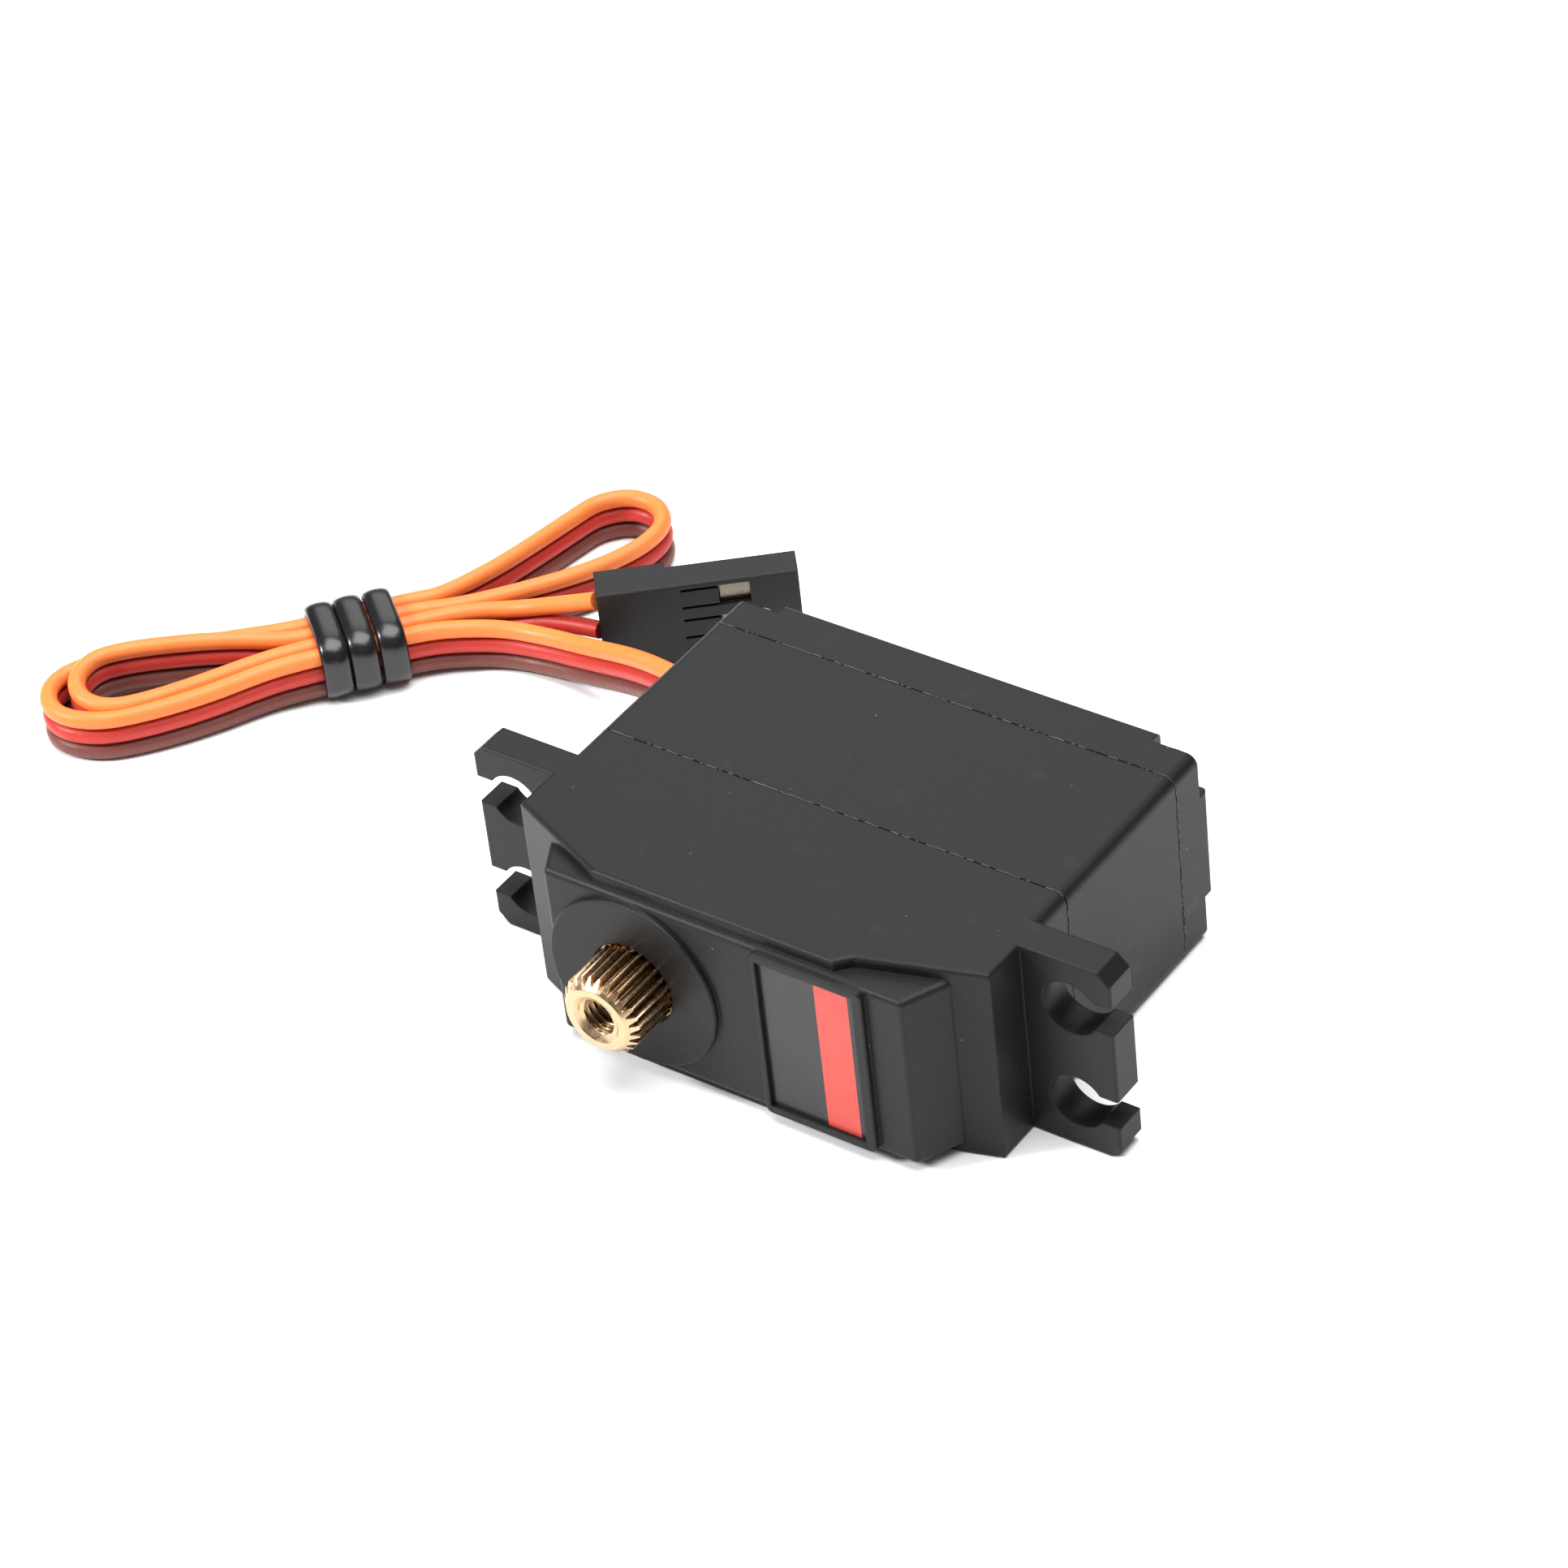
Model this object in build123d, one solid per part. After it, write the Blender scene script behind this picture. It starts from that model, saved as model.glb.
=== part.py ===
"""A mini servo motor lying on its side, with its folded and tied lead.

Millimetres.  X runs along the case, Y from the output spline (-Y) to the back cover (+Y),
Z up through the thickness of the case.  The origin is under the middle of the servo, on the
surface that it lies on.
"""
import math
import os
from build123d import *

# ---------------------------------------------------------------- driving dimensions

CASE_LENGTH = 35.6
CASE_THICK = 15.0
HALF_X = CASE_LENGTH / 2
MID_Z = CASE_THICK / 2
EDGE_ROUND = 0.8
FRONT_ROUND = 0.3          # on the edges of the slanted front

TIP_Y = -16.725            # end of the output shaft
DISC_FACE_Y = -12.775      # round boss that the shaft leaves
BLOCK_FACE_Y = -12.375     # front face of the gearbox cover
SLAB_FACE_Y = -11.875      # the same cover, where it has the full thickness
SHOULDER_Y = -8.45         # where the slanted corners of the cover end
EAR_FRONT_Y = -5.125
EAR_BACK_Y = -2.775
FRONT_SEAM_Y = 0.275
BACK_SEAM_Y = 13.075
BACK_FACE_Y = 15.725
PAD_FACE_Y = 16.725

WALL_X = 1.2
WALL_Z = 1.1
FIT_GAP = 0.05             # between the nested case mouldings

EAR_SPAN = 48.5
EAR_HOLE_X = 21.25
EAR_HOLE_RISE = 3.8        # of each ear hole above or below the middle
EAR_HOLE_R = 2.0
EAR_SLOT_WIDTH = 2.2
EAR_CORNER = 0.85           # chamfer of its outer corners
EAR_EDGE_ROUND = 0.2

SCREW_X = 15.9
SCREW_RISE = 5.6
SCREW_R = 0.8
POST_R = 1.75

OUTPUT_X = -6.85
PIN_X = OUTPUT_X + 7.8     # both of its gear pairs have this centre distance
MOTOR_X = PIN_X + 7.0

PLATE_FRONT_Y = -2.3       # gear plate between motor and gears
PLATE_BACK_Y = -1.1
GEARBOX_FRONT_Y = -10.6
BEARING_BACK_Y = -9.85
BEARING_FRONT_Y = -12.35
BEARING_R = 5.0
SHAFT_HOLE_R = 3.08         # in the boss, round the spline
SPLINE_BACK_Y = -12.42
JOURNAL_R = 3.0
POT_SHAFT_R = 1.0
PIN_R = 0.75
RUNNING_GAP = 0.03         # radial, between a gear's bore and its pin

MOTOR_R = 5.8
MOTOR_BOSS_R = 2.0
MOTOR_SHAFT_R = 0.5
MOTOR_CAN_BACK_Y = 10.0
MOTOR_END_Y = 10.7

BOARD_FRONT_Y = 11.3
BOARD_BACK_Y = 12.1

WIRE_D = 1.3
WIRE_TUBE_R = 0.63
WIRE_EXIT_Y = 12.9

os.makedirs("parts", exist_ok=True)


def save(node, name):
    """Write one named piece, or one group of identical pieces, as its own STEP file."""
    node.label = name
    export_step(node, f"parts/{name}.step")


# ---------------------------------------------------------------- simple shapes

def rod(x, z, radius, front, back):
    """A cylinder along Y."""
    plane = Plane(origin=(x, back, z), x_dir=(1, 0, 0), z_dir=(0, -1, 0))
    return extrude(plane * Circle(radius), back - front)


def tube(x, z, outer, inner, front, back):
    """A pipe along Y."""
    return rod(x, z, outer, front, back) - rod(x, z, inner, front - 1, back + 1)


def block(x0, x1, y0, y1, z0, z1):
    """A box between two corners."""
    middle = ((x0 + x1) / 2, (y0 + y1) / 2, (z0 + z1) / 2)
    return Pos(*middle) * Box(x1 - x0, y1 - y0, z1 - z0)


def rounded_bar(half_x, half_z, radius, front, back):
    """A bar along Y with a rounded rectangular section, centred on the case."""
    plane = Plane(origin=(0, back, MID_Z), x_dir=(1, 0, 0), z_dir=(0, -1, 0))
    return extrude(plane * RectangleRounded(2 * half_x, 2 * half_z, radius), back - front)


def plan_prism(points, z0, z1):
    """A prism that stands on an outline given in X and Y."""
    outline = make_face(Polyline(*[(x, y) for x, y in points], close=True))
    return Pos(0, 0, z0) * extrude(outline, z1 - z0)


def corners(reach_x, rise):
    """The four places at plus and minus these distances from the middle of the case."""
    return [(sx * reach_x, MID_Z + sz * rise) for sx in (-1, 1) for sz in (-1, 1)]


def joined(pieces):
    """One shape from several that touch or overlap."""
    whole = pieces[0]
    for piece in pieces[1:]:
        whole = whole + piece
    return whole


# ---------------------------------------------------------------- case mouldings

def top_case():
    """Gearbox cover: slanted front, round boss, label frame, two slotted ears."""
    slab_outline = [
        (-HALF_X, SHOULDER_Y), (-9.66, SLAB_FACE_Y), (8.6, SLAB_FACE_Y), (9.5, -10.925),
        (HALF_X, SHOULDER_Y), (HALF_X, FRONT_SEAM_Y), (-HALF_X, FRONT_SEAM_Y),
    ]
    slab = plan_prism(slab_outline, 0, CASE_THICK)
    flat_edges = slab.edges().filter_by(lambda e: e.center().Z < 0.01 or e.center().Z > CASE_THICK - 0.01)
    slab = fillet(flat_edges.filter_by(lambda e: e.center().Y < FRONT_SEAM_Y - 0.01), FRONT_ROUND)
    slab -= block(-HALF_X - 1, HALF_X + 1, EAR_BACK_Y, FRONT_SEAM_Y + 1, -1, CASE_THICK + 1)
    behind_ears = rounded_bar(HALF_X, MID_Z, EDGE_ROUND, EAR_BACK_Y, FRONT_SEAM_Y)
    slab = joined([slab, behind_ears])

    block_outline = [
        (-14.75, -9.5), (-13.25, BLOCK_FACE_Y), (13.9, BLOCK_FACE_Y), (15.42, -9.25), (15.42, -7), (-14.75, -7),
    ]
    front = plan_prism(block_outline, 0.83, CASE_THICK - 0.83)
    front = fillet(front.edges().filter_by(lambda e: e.center().Y < -9), 0.45)

    disc = rod(OUTPUT_X, MID_Z, 6.4, DISC_FACE_Y, SLAB_FACE_Y)
    disc = fillet(disc.edges().sort_by(Axis.Y)[0], 0.15)
    frame = block(2.75, 11.15, BLOCK_FACE_Y - 0.45, SLAB_FACE_Y, 0.95, CASE_THICK - 0.95)
    frame = fillet(frame.edges().filter_by(Axis.Y), 0.5)
    frame = fillet(frame.faces().sort_by(Axis.Y)[0].edges(), 0.12)
    shell = joined([slab, front, disc, frame])
    shell -= block(3.2, 10.45, BLOCK_FACE_Y - 1, BLOCK_FACE_Y, 1.55, CASE_THICK - 1.55)

    inner_outline = [
        (-HALF_X + WALL_X, -7.65), (-9.4, GEARBOX_FRONT_Y), (8.3, GEARBOX_FRONT_Y), (HALF_X - WALL_X, -7.75),
        (HALF_X - WALL_X, FRONT_SEAM_Y + 1), (-HALF_X + WALL_X, FRONT_SEAM_Y + 1),
    ]
    cavity = plan_prism(inner_outline, WALL_Z, CASE_THICK - WALL_Z)
    shell -= cavity
    shell -= rod(OUTPUT_X, MID_Z, 6.15, BEARING_BACK_Y, -6)
    posts = [rod(x, z, POST_R, -6.9, FRONT_SEAM_Y) for x, z in corners(SCREW_X, SCREW_RISE)]
    pin_boss = rod(PIN_X, MID_Z, 1.8, -11, -9.95)
    bearing_boss = rod(OUTPUT_X, MID_Z, 6.2, BEARING_FRONT_Y + 0.1, BEARING_BACK_Y)
    shell = joined([shell, *posts, pin_boss, bearing_boss])
    for x, z in corners(SCREW_X, SCREW_RISE):
        shell -= rod(x, z, SCREW_R, -5.4, FRONT_SEAM_Y + 1)
    shell -= rod(PIN_X, MID_Z, PIN_R, -11.4, -9)
    shell -= rod(OUTPUT_X, MID_Z, BEARING_R, BEARING_FRONT_Y, -9)
    shell -= rod(OUTPUT_X, MID_Z, SHAFT_HOLE_R, DISC_FACE_Y - 1, BEARING_FRONT_Y + 1)
    return shell + ear(-1) + ear(1)


def ear(side):
    """One mounting ear with two holes that open to its end through a narrower slot."""
    root, end = HALF_X - 0.3, EAR_SPAN / 2
    x0, x1 = sorted((side * root, side * end))
    plate = block(x0, x1, EAR_FRONT_Y, EAR_BACK_Y, 0, CASE_THICK)
    outer = plate.edges().filter_by(Axis.Y).filter_by(lambda e: abs(e.center().X) > HALF_X)
    plate = chamfer(outer, EAR_CORNER)
    front_edges = plate.faces().sort_by(Axis.Y)[0].edges()
    plate = fillet(front_edges.filter_by(lambda e: abs(e.center().X) > HALF_X), EAR_EDGE_ROUND)
    for rise in (-EAR_HOLE_RISE, EAR_HOLE_RISE):
        z = MID_Z + rise
        plate -= rod(side * EAR_HOLE_X, z, EAR_HOLE_R, EAR_FRONT_Y - 1, EAR_BACK_Y + 1)
        s0, s1 = sorted((side * EAR_HOLE_X, side * (end + 1)))
        half = EAR_SLOT_WIDTH / 2
        plate -= block(s0, s1, EAR_FRONT_Y - 1, EAR_BACK_Y + 1, z - half, z + half)
    return plate


def middle_case():
    """Motor housing: outer walls, screw posts, and the gear plate that rises into the cover."""
    wall = rounded_bar(HALF_X, MID_Z, EDGE_ROUND, FRONT_SEAM_Y, BACK_SEAM_Y)
    spigot = rounded_bar(
        HALF_X - WALL_X - FIT_GAP, MID_Z - WALL_Z - FIT_GAP, 0.3, PLATE_FRONT_Y, FRONT_SEAM_Y + 0.5
    )
    for x, z in corners(SCREW_X, SCREW_RISE):
        spigot -= rod(x, z, POST_R + FIT_GAP, PLATE_FRONT_Y - 1, FRONT_SEAM_Y)
    body = wall + spigot
    body -= rounded_bar(HALF_X - 2.3, MID_Z - 1.95, 0.4, PLATE_BACK_Y, FRONT_SEAM_Y + 1)
    body -= rounded_bar(HALF_X - WALL_X, MID_Z - WALL_Z, 0.4, FRONT_SEAM_Y + 0.8, BACK_SEAM_Y + 1)
    body -= rod(MOTOR_X, MID_Z, MOTOR_R + FIT_GAP, PLATE_BACK_Y, BACK_SEAM_Y)
    posts = [rod(x, z, POST_R, FRONT_SEAM_Y, BACK_SEAM_Y) for x, z in corners(SCREW_X, SCREW_RISE)]
    shaft_guide = rod(OUTPUT_X, MID_Z, 2.2, PLATE_BACK_Y - 0.2, 5.9)
    body = joined([body, *posts, shaft_guide])
    for x, z in corners(SCREW_X, SCREW_RISE):
        body -= rod(x, z, SCREW_R + 0.1, PLATE_FRONT_Y, BACK_SEAM_Y + 1)
    body -= rod(MOTOR_X, MID_Z, MOTOR_BOSS_R + FIT_GAP, PLATE_FRONT_Y - 1, PLATE_BACK_Y + 1)
    body -= rod(OUTPUT_X, MID_Z, POT_SHAFT_R + 0.06, PLATE_FRONT_Y - 1, 7)
    body -= rod(PIN_X, MID_Z, PIN_R, PLATE_FRONT_Y - 1, PLATE_BACK_Y + 1)
    body -= grommet_window(0)
    return body


def bottom_cover():
    """Back cover with a cross-shaped pad that leaves the four screw heads in low corners."""
    cover = rounded_bar(HALF_X, MID_Z, EDGE_ROUND, BACK_SEAM_Y, PAD_FACE_Y)
    rim = cover.faces().sort_by(Axis.Y)[-1].edges()
    cover = fillet(rim, 0.4)
    notch_x, notch_z = 3.35, 3.4
    for sx in (-1, 1):
        for sz in (-1, 1):
            x0, x1 = sorted((sx * (HALF_X - notch_x), sx * (HALF_X + 1)))
            z0, z1 = sorted((MID_Z + sz * (MID_Z - notch_z), MID_Z + sz * (MID_Z + 1)))
            cover -= block(x0, x1, BACK_FACE_Y, PAD_FACE_Y + 1, z0, z1)
    inside = rounded_bar(HALF_X - WALL_X, MID_Z - WALL_Z, 0.4, BACK_SEAM_Y - 1, 15.0)
    for x, z in corners(SCREW_X, SCREW_RISE):
        inside -= rod(x, z, POST_R, BACK_SEAM_Y - 2, 16)
    cover -= inside
    for x, z in corners(SCREW_X, SCREW_RISE):
        cover -= rod(x, z, SCREW_R + 0.1, BACK_SEAM_Y - 1, PAD_FACE_Y)
    board_ribs = [block(x - 0.5, x + 0.5, BOARD_BACK_Y, 15.4, WALL_Z - 0.3, 2.6) for x in (-9.5, 9.5)]
    board_ribs += [
        block(x - 0.5, x + 0.5, BOARD_BACK_Y, 15.4, CASE_THICK - 2.6, CASE_THICK - WALL_Z + 0.3) for x in (-9.5, 9.5)
    ]
    inside_only = rounded_bar(HALF_X - WALL_X - FIT_GAP, MID_Z - WALL_Z - FIT_GAP, 0.3, BOARD_BACK_Y, BACK_SEAM_Y)
    for rib in board_ribs:
        low = rib & inside_only
        high = rib & rounded_bar(HALF_X - 0.5, MID_Z - 0.5, 0.4, BACK_SEAM_Y, 15.5)
        cover = cover + low + high
    cover -= grommet_window(0)
    return cover


def grommet_window(gap):
    """The opening for the wires, half in the middle case and half in the back cover."""
    half_y, half_z = 1.15 + gap, 2.45 + gap
    return block(-HALF_X - 1, -HALF_X + 2.2, WIRE_EXIT_Y - half_y, WIRE_EXIT_Y + half_y, MID_Z - half_z, MID_Z + half_z)


def front_label():
    """Thin panel inside the raised frame."""
    return block(3.22, 10.43, BLOCK_FACE_Y - 0.15, BLOCK_FACE_Y, 1.57, CASE_THICK - 1.57)


def case_screws():
    """Four long screws from the back cover into the gearbox cover."""
    screws = []
    for x, z in corners(SCREW_X, SCREW_RISE):
        shank = rod(x, z, SCREW_R, -5.2, BACK_FACE_Y + 0.1)
        head = rod(x, z, 1.35, BACK_FACE_Y, BACK_FACE_Y + 0.8)
        head = fillet(head.edges().sort_by(Axis.Y)[-1], 0.3)
        cross = block(x - 0.8, x + 0.8, BACK_FACE_Y + 0.35, PAD_FACE_Y, z - 0.14, z + 0.14)
        cross += block(x - 0.14, x + 0.14, BACK_FACE_Y + 0.35, PAD_FACE_Y, z - 0.8, z + 0.8)
        screws.append(shank + head - cross)
    return Compound(children=screws)


# ---------------------------------------------------------------- gears

PRESSURE_ANGLE = math.radians(25)
BACKLASH = 0.16            # share of a tooth's thickness that is left out


def gear_face(teeth, module, tooth_at):
    """Outline of a spur gear: involute flanks, one tooth centred on the angle tooth_at."""
    pitch_r = module * teeth / 2
    tip_r = pitch_r + 0.85 * module
    root_r = pitch_r - 1.15 * module
    base_r = pitch_r * math.cos(PRESSURE_ANGLE)
    start_r = max(base_r, root_r)

    def involute(radius):
        angle = math.acos(min(1.0, base_r / radius))
        return math.tan(angle) - angle

    half_at_pitch = math.pi / 2 / teeth * (1 - BACKLASH)
    flank = []
    if root_r < base_r:
        flank.append((root_r, half_at_pitch + involute(pitch_r)))
    for step in (0, 0.5, 1):
        radius = start_r + step * (tip_r - start_r)
        flank.append((radius, half_at_pitch + involute(pitch_r) - involute(radius)))
    points = []
    for tooth in range(teeth):
        middle = tooth_at + 2 * math.pi * tooth / teeth
        side = [(r, middle - half) for r, half in flank] + [(r, middle + half) for r, half in reversed(flank)]
        points += [(r * math.cos(a), r * math.sin(a)) for r, a in side]
    return make_face(Polyline(*points, close=True))


def gear(x, teeth, module, front, back, tooth_at):
    """A spur gear's solid rim on an axis along Y."""
    plane = Plane(origin=(x, back, MID_Z), x_dir=(1, 0, 0), z_dir=(0, -1, 0))
    return extrude(plane * gear_face(teeth, module, tooth_at), back - front)


def gap_at(teeth, angle):
    """The tooth angle that puts the middle of a gap at the given angle."""
    return angle + math.pi / teeth


MOTOR_TEETH, FIRST_TEETH, FIRST_MODULE = 10, 46, 0.25
SMALL_TEETH, LARGE_TEETH, MIDDLE_MODULE = 13, 39, 0.3
LAST_TEETH, OUTPUT_TEETH, LAST_MODULE = 11, 28, 0.4


def compound_gear(x, wheel_teeth, wheel_module, wheel_at, pinion_teeth, pinion_module, pinion_at, layers, hub_r, bore_r):
    """A wheel pressed on the hub of a pinion.  layers are back, between wheel and pinion, front."""
    boss_back, back, between, front = layers
    wheel = gear(x, wheel_teeth, wheel_module, between, back, wheel_at)
    wheel -= rod(x, MID_Z, hub_r, between - 1, back + 1)
    pinion = gear(x, pinion_teeth, pinion_module, front, between, pinion_at)
    pinion += rod(x, MID_Z, hub_r, between - 0.2, back)
    pinion += rod(x, MID_Z, hub_r - 0.2, back - 0.2, boss_back)
    pinion -= rod(x, MID_Z, bore_r, front - 1, boss_back + 1)
    return wheel, pinion


def first_gear():
    return compound_gear(
        PIN_X, FIRST_TEETH, FIRST_MODULE, gap_at(FIRST_TEETH, 0), SMALL_TEETH, MIDDLE_MODULE, math.pi,
        (-2.6, -2.9, -3.9, -5.5), 1.4, PIN_R + RUNNING_GAP,
    )


def second_gear():
    return compound_gear(
        OUTPUT_X, LARGE_TEETH, MIDDLE_MODULE, gap_at(LARGE_TEETH, 0), SMALL_TEETH, MIDDLE_MODULE, 0,
        (-2.6, -4.2, -5.4, -7.3), 1.5, POT_SHAFT_R + RUNNING_GAP,
    )


def third_gear():
    return compound_gear(
        PIN_X, LARGE_TEETH, MIDDLE_MODULE, gap_at(LARGE_TEETH, math.pi), LAST_TEETH, LAST_MODULE, math.pi,
        (-5.65, -5.8, -7.1, -9.7), 1.5, PIN_R + RUNNING_GAP,
    )


def output_gear():
    """Last gear of the train, pressed on the output shaft, with six lightening holes."""
    wheel = gear(OUTPUT_X, OUTPUT_TEETH, LAST_MODULE, -9.6, -7.6, gap_at(OUTPUT_TEETH, 0))
    return wheel - rod(OUTPUT_X, MID_Z, JOURNAL_R, -11, -6)


def output_shaft():
    """Brass shaft: gear seat, collar, bearing journal, 25-tooth spline, threaded hole."""
    teeth, tip_r, root_r = 25, 2.95, 2.55
    pitch = 2 * math.pi / teeth
    points = []
    for tooth in range(teeth):
        middle = tooth * pitch
        for radius, share in ((root_r, -0.42), (tip_r, -0.17), (tip_r, 0.17), (root_r, 0.42)):
            angle = middle + share * pitch
            points.append((radius * math.cos(angle), radius * math.sin(angle)))
    plane = Plane(origin=(OUTPUT_X, SPLINE_BACK_Y, MID_Z), x_dir=(1, 0, 0), z_dir=(0, -1, 0))
    spline = extrude(plane * make_face(Polyline(*points, close=True)), SPLINE_BACK_Y - TIP_Y)
    cone = [(0, TIP_Y), (2.5, TIP_Y), (2.98, -16.15), (3.2, -15.9), (3.2, -12), (0, -12)]
    spline &= turned(cone)
    shaft = spline + rod(OUTPUT_X, MID_Z, 2.5, SPLINE_BACK_Y - 0.1, -12.3)
    shaft += rod(OUTPUT_X, MID_Z, JOURNAL_R, BEARING_FRONT_Y, -7.6)
    shaft += rod(OUTPUT_X, MID_Z, 3.5, BEARING_BACK_Y, -9.6)
    shaft -= rod(OUTPUT_X, MID_Z, POT_SHAFT_R, -11.3, -7)
    shaft -= turned([(0, TIP_Y), (1.95, TIP_Y), (1.5, -16.5), (1.25, -16.25), (1.25, -12.0), (0, -11.6)])
    return shaft


def turned(profile):
    """A solid of revolution about the output axis from radius and Y pairs."""
    outline = make_face(Polyline(*[(OUTPUT_X + r, y) for r, y in profile], close=True))
    axis = Axis((OUTPUT_X, 0, MID_Z), (0, 1, 0))
    return revolve(Pos(0, 0, MID_Z) * outline, axis, 360)


# ---------------------------------------------------------------- output bearing

BALL_R, BALL_PITCH_R, BALLS = 0.6, 4.0, 9
BEARING_MID_Y = (BEARING_FRONT_Y + BEARING_BACK_Y) / 2


def ball_groove():
    centre = Plane(origin=(OUTPUT_X, BEARING_MID_Y, MID_Z), x_dir=(1, 0, 0), z_dir=(0, -1, 0))
    return centre * Torus(BALL_PITCH_R, BALL_R + 0.02)


def ball_places():
    turn = 2 * math.pi / BALLS
    return [
        (OUTPUT_X + BALL_PITCH_R * math.cos(n * turn), BEARING_MID_Y, MID_Z + BALL_PITCH_R * math.sin(n * turn))
        for n in range(BALLS)
    ]


def bearing_rings():
    """Outer and inner ring with the ball groove cut in both."""
    outer = tube(OUTPUT_X, MID_Z, BEARING_R, 4.4, BEARING_FRONT_Y, BEARING_BACK_Y) - ball_groove()
    inner = tube(OUTPUT_X, MID_Z, 3.6, JOURNAL_R, BEARING_FRONT_Y, BEARING_BACK_Y) - ball_groove()
    return outer, inner


def bearing_balls():
    return Compound(children=[Pos(*place) * Sphere(BALL_R) for place in ball_places()])


def bearing_cage():
    """Ring between the balls, with a window for each."""
    cage = tube(OUTPUT_X, MID_Z, 4.25, 3.75, BEARING_MID_Y - 0.9, BEARING_MID_Y + 0.9)
    middle = Vector(OUTPUT_X, BEARING_MID_Y, MID_Z)
    for place in ball_places():
        outward = (Vector(*place) - middle).normalized()
        drill = Plane(origin=middle + outward * 3, z_dir=outward)
        cage -= extrude(drill * Circle(BALL_R + 0.04), 2)
    return cage


# ---------------------------------------------------------------- motor

def motor_can():
    """Steel can with a centring boss and an inner seat for the magnet."""
    can = rod(MOTOR_X, MID_Z, MOTOR_R, PLATE_BACK_Y, MOTOR_CAN_BACK_Y)
    can -= rod(MOTOR_X, MID_Z, MOTOR_R - 0.4, -0.7, MOTOR_CAN_BACK_Y + 1)
    can += rod(MOTOR_X, MID_Z, MOTOR_BOSS_R, -2.2, PLATE_BACK_Y)
    can += rod(MOTOR_X, MID_Z, 1.6, -0.9, -0.2)
    return can - rod(MOTOR_X, MID_Z, 1.0, -3, 1)


def motor_magnet():
    return tube(MOTOR_X, MID_Z, 3.8, 0.8, -0.2, 8.2)


def motor_end_cap():
    """Plastic back end of the motor, with slots for the two terminals."""
    cap = rod(MOTOR_X, MID_Z, MOTOR_R, MOTOR_CAN_BACK_Y, MOTOR_END_Y)
    cap += rod(MOTOR_X, MID_Z, MOTOR_R - 0.4, 9.7, MOTOR_CAN_BACK_Y)
    cap -= rod(MOTOR_X, MID_Z, 1.2, 9, 12)
    for rise in (-3, 3):
        cap -= block(MOTOR_X - 0.5, MOTOR_X + 0.5, 9, 12, MID_Z + rise - 0.2, MID_Z + rise + 0.2)
    return cap


def motor_bushings():
    """Front and back plain bearings of the rotor."""
    front = tube(MOTOR_X, MID_Z, 1.0, MOTOR_SHAFT_R + RUNNING_GAP, -2.2, -0.2)
    back = tube(MOTOR_X, MID_Z, 1.2, MOTOR_SHAFT_R + RUNNING_GAP, 10.0, MOTOR_END_Y)
    return Compound(children=[front, back])


def motor_terminals():
    tabs = []
    for rise in (-3, 3):
        z = MID_Z + rise
        tabs.append(block(MOTOR_X - 0.5, MOTOR_X + 0.5, 9.65, 12.5, z - 0.2, z + 0.2))
    return Compound(children=tabs)


def motor_brushes():
    """Two strips from the terminals to the commutator."""
    strips = []
    for side in (-1, 1):
        z0, z1 = sorted((MID_Z + side * 1.15, MID_Z + side * 3.2))
        strips.append(block(MOTOR_X - 0.3, MOTOR_X + 0.3, 9.4, 9.65, z0, z1))
    return Compound(children=strips)


def rotor_shaft():
    return rod(MOTOR_X, MID_Z, MOTOR_SHAFT_R, -4.4, 10.6)


def rotor_winding():
    """Self-supporting copper cup with its back web."""
    cup = tube(MOTOR_X, MID_Z, 5.0, 4.2, 0.2, 8.9)
    return cup + tube(MOTOR_X, MID_Z, 5.0, MOTOR_SHAFT_R, 8.8, 9.2)


def rotor_commutator():
    return tube(MOTOR_X, MID_Z, 1.1, MOTOR_SHAFT_R, 9.2, 9.9)


def motor_pinion():
    pinion = gear(MOTOR_X, MOTOR_TEETH, FIRST_MODULE, -4.2, -2.5, math.pi)
    return pinion - rod(MOTOR_X, MID_Z, MOTOR_SHAFT_R, -5, -2)


# ---------------------------------------------------------------- feedback potentiometer

POT_R = 4.7


def pot_housing():
    """Cup of the potentiometer, open at the back."""
    cup = rod(OUTPUT_X, MID_Z, POT_R, 6.0, 9.5) - rod(OUTPUT_X, MID_Z, POT_R - 0.5, 6.6, 10)
    return cup - rod(OUTPUT_X, MID_Z, POT_SHAFT_R + 0.06, 5, 8)


def pot_base():
    return rod(OUTPUT_X, MID_Z, POT_R, 9.5, 10.2)


def pot_track():
    """Resistive ring with a gap between its ends."""
    ring = tube(OUTPUT_X, MID_Z, 4.0, 2.6, 9.3, 9.5)
    return ring - block(OUTPUT_X - 0.5, OUTPUT_X + 0.5, 9, 10, MID_Z - 5, MID_Z)


def pot_terminals():
    pins = [rod(OUTPUT_X + step, MID_Z - 3.2, 0.3, 10.2, 12.5) for step in (-2.5, 0, 2.5)]
    return Compound(children=pins)


def pot_shaft():
    """Thin shaft from the potentiometer through the second gear into the output shaft."""
    return rod(OUTPUT_X, MID_Z, POT_SHAFT_R, -11.2, 8.6)


def pot_wiper():
    hub = tube(OUTPUT_X, MID_Z, 1.8, POT_SHAFT_R, 7.2, 8.4)
    arm = block(OUTPUT_X - 0.45, OUTPUT_X + 0.45, 8.0, 8.4, MID_Z + 1.5, MID_Z + 3.7)
    finger = block(OUTPUT_X - 0.3, OUTPUT_X + 0.3, 8.3, 9.25, MID_Z + 3.2, MID_Z + 3.6)
    return hub + arm + finger


# ---------------------------------------------------------------- electronics

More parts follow.
